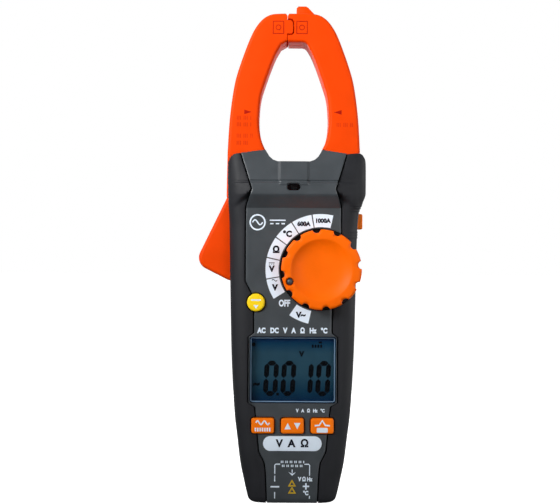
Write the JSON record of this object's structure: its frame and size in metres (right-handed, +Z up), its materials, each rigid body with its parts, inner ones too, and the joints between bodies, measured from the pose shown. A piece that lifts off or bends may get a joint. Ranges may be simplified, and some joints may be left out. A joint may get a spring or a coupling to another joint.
{
  "type": "clamp meter",
  "caption": "Handheld clamp meter: hinged jaw with a squeeze trigger, round selector, push buttons, display and test lead sockets.",
  "frame": {"origin": "centre of the flat lower end face, midway between the two test lead sockets", "axes": "+Z up along the body to the jaw tips, -Y out of the display face, +X to the right of a reader"},
  "size_m": [0.0897, 0.0474, 0.2659],
  "materials": {
    "grey_plastic": "fine textured moulded plastic",
    "grip_rubber": "soft matt over-moulded grip",
    "orange_plastic": "smooth satin moulded plastic",
    "yellow_plastic": "smooth moulded plastic",
    "clear_plastic": "clear polished window",
    "display_glass": "blue lit liquid crystal cell",
    "white_plastic": "plain white moulding",
    "board_laminate": "green circuit board",
    "brass": "plated contact metal",
    "steel": "bright zinc plated",
    "core_iron": "laminated core, bare",
    "cell_jacket": "printed cell jacket",
    "black_plastic": "plain black moulding"
  },
  "bodies": {
    "housing": {"battery_1": "cell_jacket", "battery_2": "cell_jacket", "battery_3": "cell_jacket", "battery_contacts_lower": "steel", "battery_contacts_upper": "steel", "battery_cover": "grey_plastic", "battery_cover_screw": "steel", "battery_tray": "black_plastic", "buzzer": "black_plastic", "case_screw_1": "steel", "case_screw_2": "steel", "case_screw_3": "steel", "case_screw_4": "steel", "common_socket": "brass", "detent_spring": "steel", "display_backlight": "white_plastic", "display_connector": "black_plastic", "display_glass": "display_glass", "display_holder": "white_plastic", "display_window": "clear_plastic", "fixed_jaw_core": "core_iron", "fixed_jaw_front_shell": "orange_plastic", "fixed_jaw_rear_shell": "orange_plastic", "front_cover": "grey_plastic", "front_grip_left": "grip_rubber", "front_grip_right": "grip_rubber", "hall_sensor": "black_plastic", "input_socket": "brass", "jaw_pivot_pin": "steel", "jaw_return_spring": "steel", "keypad_mat": "grip_rubber", "main_board": "board_laminate", "measuring_chip": "black_plastic", "name_plate": "white_plastic", "rear_cover": "grey_plastic", "rear_grip_left": "grip_rubber", "rear_grip_right": "grip_rubber", "sensor_board": "board_laminate", "side_switch": "steel", "socket_block": "black_plastic", "torch_lamp": "white_plastic", "torch_lens": "clear_plastic"},
    "moving_jaw": {"moving_jaw_front_shell": "orange_plastic", "moving_jaw_rear_shell": "orange_plastic", "moving_jaw_core": "core_iron"},
    "selector": {"selector_knob": "orange_plastic", "knob_pointer": "grey_plastic", "selector_rotor": "white_plastic", "rotor_contacts": "brass"},
    "mode_key": {"mode_button": "orange_plastic"},
    "range_key": {"range_button": "orange_plastic"},
    "peak_key": {"peak_button": "orange_plastic"},
    "relative_key": {"relative_button": "yellow_plastic"},
    "side_key": {"side_button": "orange_plastic"}
  },
  "joints": [
    {"name": "jaw_opening", "type": "hinge", "parent": "housing", "child": "moving_jaw", "pos_m": [-0.008, 0, 0.1685], "axis": [0, -1, 0], "range_deg": [0, 20], "stiffness_Nm_per_rad": 1, "springref_deg": -28.65},
    {"name": "selector_turn", "type": "hinge", "parent": "housing", "child": "selector", "pos_m": [0.0146, -0.019, 0.1237], "axis": [0, -1, 0], "range_deg": [-112.5, 45]},
    {"name": "mode_press", "type": "slide", "parent": "housing", "child": "mode_key", "axis": [0, 1, 0], "range_m": [0, 0.001], "stiffness_N_per_m": 1000, "springref_m": -0.0005},
    {"name": "range_press", "type": "slide", "parent": "housing", "child": "range_key", "axis": [0, 1, 0], "range_m": [0, 0.001], "stiffness_N_per_m": 1000, "springref_m": -0.0005},
    {"name": "peak_press", "type": "slide", "parent": "housing", "child": "peak_key", "axis": [0, 1, 0], "range_m": [0, 0.001], "stiffness_N_per_m": 1000, "springref_m": -0.0005},
    {"name": "relative_press", "type": "slide", "parent": "housing", "child": "relative_key", "axis": [0, 1, 0], "range_m": [0, 0.001], "stiffness_N_per_m": 1000, "springref_m": -0.0005},
    {"name": "side_press", "type": "slide", "parent": "housing", "child": "side_key", "axis": [-1, 0, 0], "range_m": [0, 0.001], "stiffness_N_per_m": 1000, "springref_m": -0.0005}
  ]
}
